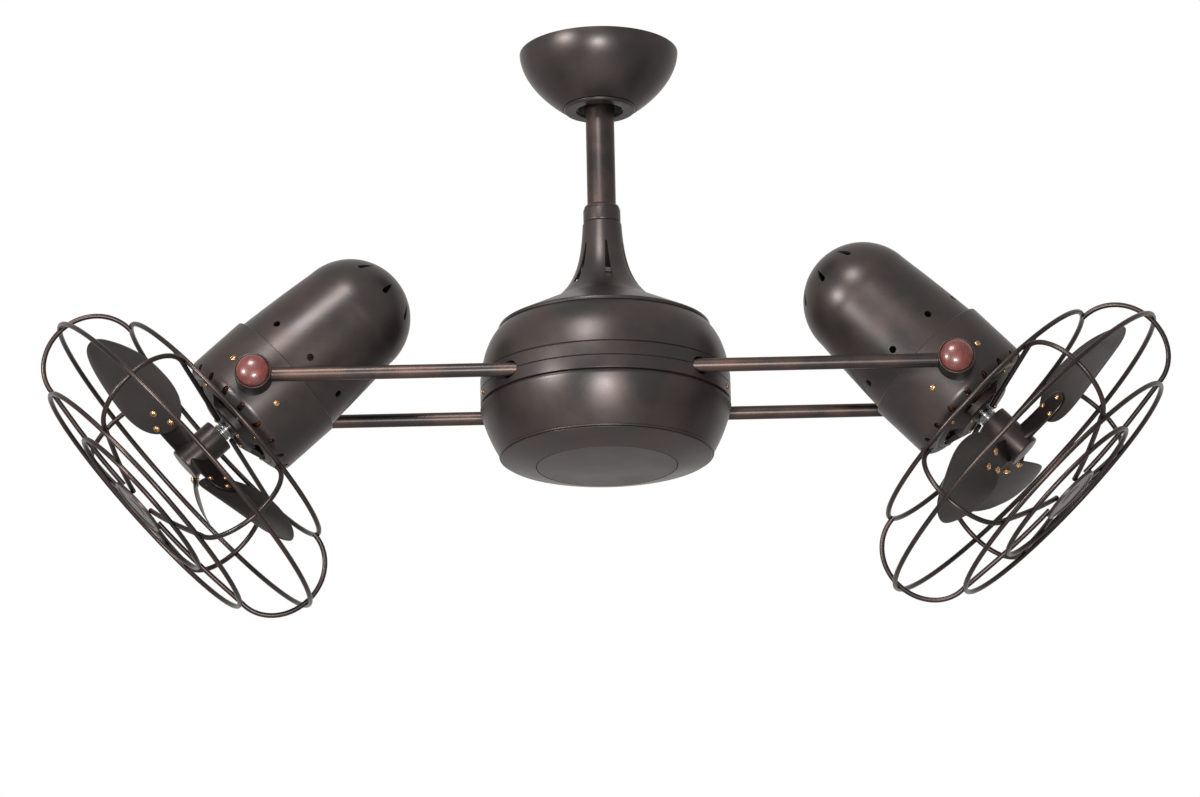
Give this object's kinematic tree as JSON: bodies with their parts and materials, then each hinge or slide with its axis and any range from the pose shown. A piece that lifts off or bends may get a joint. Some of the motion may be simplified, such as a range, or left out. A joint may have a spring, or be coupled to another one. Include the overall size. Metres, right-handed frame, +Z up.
{
  "type": "twin head ceiling fan",
  "caption": "Ceiling fan with caged fan heads on two parallel rods across a slowly turning central housing, hung from a canopy by a short downrod.",
  "frame": {"origin": "centre of the hanger bracket's top face, which rests on the ceiling", "axes": "+Z up, square to the ceiling; +X to the right along the two rods, towards the right head; +Y away from the viewer of the picture"},
  "size_m": [1.0392, 0.3482, 0.533],
  "materials": {
    "bronze": "oil-rubbed bronze powder coat, fine texture, satin",
    "dark_bronze": "darker bronze powder coat, satin",
    "head_bronze": "pressed and cast shells with the same bronze coat, satin",
    "wire_bronze": "bronze-coated steel wire, satin",
    "blade_bronze": "bronze-coated thin sheet blade, satin",
    "cast_bronze": "cast hub and brackets, dark bronze, satin",
    "steel": "bright turned steel",
    "zinc": "zinc-plated pressed steel",
    "brass": "satin brass",
    "mahogany": "dark red-brown stained wood under gloss lacquer",
    "cast": "plain casting",
    "iron_core": "varnished iron laminations",
    "copper": "varnished copper winding",
    "nylon": "moulded black nylon"
  },
  "bodies": {
    "ceiling_mount": {"hanger_bracket": "zinc", "canopy": "bronze", "canopy_ring": "dark_bronze"},
    "swivel_liner": {"ball_liner": "nylon"},
    "hanging_stem": {"hanger_ball": "dark_bronze", "hanger_pin": "steel", "downrod": "bronze", "rod_collar": "dark_bronze", "neck_cover": "bronze", "spindle": "steel", "spindle_nut": "zinc", "slip_ring": "brass"},
    "rotor": {"upper_housing": "bronze", "lower_housing": "bronze", "bottom_plate": "bronze", "center_cap": "bronze", "arm_carrier": "cast", "upper_bearing": "steel", "lower_bearing": "steel", "brush_block": "nylon", "front_arm_rod": "bronze", "back_arm_rod": "bronze", "left_front_hub": "bronze", "left_front_wood_cap": "mahogany", "left_back_hub": "bronze", "left_back_wood_cap": "mahogany", "right_front_hub": "bronze", "right_front_wood_cap": "mahogany", "right_back_hub": "bronze", "right_back_wood_cap": "mahogany"},
    "left_head": {"left_front_housing": "head_bronze", "left_rear_shell": "head_bronze", "left_end_bell": "head_bronze", "left_rear_bell": "cast", "left_stator": "iron_core", "left_winding": "copper", "left_front_bearing": "steel", "left_rear_bearing": "steel", "left_cage": "wire_bronze", "left_medallion": "wire_bronze"},
    "left_fan": {"left_motor_shaft": "steel", "left_fan_hub": "cast_bronze", "left_blade_1": "blade_bronze", "left_blade_2": "blade_bronze", "left_blade_3": "blade_bronze"},
    "right_head": {"right_front_housing": "head_bronze", "right_rear_shell": "head_bronze", "right_end_bell": "head_bronze", "right_rear_bell": "cast", "right_stator": "iron_core", "right_winding": "copper", "right_front_bearing": "steel", "right_rear_bearing": "steel", "right_cage": "wire_bronze", "right_medallion": "wire_bronze"},
    "right_fan": {"right_motor_shaft": "steel", "right_fan_hub": "cast_bronze", "right_blade_1": "blade_bronze", "right_blade_2": "blade_bronze", "right_blade_3": "blade_bronze"}
  },
  "joints": [
    {"name": "stem_swing_forward", "type": "hinge", "parent": "ceiling_mount", "child": "swivel_liner", "pos_m": [0, 0, -0.03], "axis": [1, 0, 0], "range_deg": [-10, 10]},
    {"name": "stem_swing_sideways", "type": "hinge", "parent": "swivel_liner", "child": "hanging_stem", "pos_m": [0, 0, -0.03], "axis": [0, 1, 0], "range_deg": [-10, 10]},
    {"name": "rotor_spin", "type": "hinge", "parent": "hanging_stem", "child": "rotor", "pos_m": [0, 0, -0.3335], "axis": [0, 0, 1], "continuous": true},
    {"name": "left_head_tilt", "type": "hinge", "parent": "rotor", "child": "left_head", "pos_m": [-0.3205, 0, -0.3335], "axis": [0, 1, 0], "range_deg": [-48, 132]},
    {"name": "right_head_tilt", "type": "hinge", "parent": "rotor", "child": "right_head", "pos_m": [0.3205, 0, -0.3335], "axis": [0, 1, 0], "range_deg": [-136, 44]},
    {"name": "left_fan_spin", "type": "hinge", "parent": "left_head", "child": "left_fan", "pos_m": [-0.3205, 0, -0.3335], "axis": [-0.7431, 0, -0.6691], "continuous": true},
    {"name": "right_fan_spin", "type": "hinge", "parent": "right_head", "child": "right_fan", "pos_m": [0.3205, 0, -0.3335], "axis": [0.6947, 0, -0.7193], "continuous": true}
  ]
}
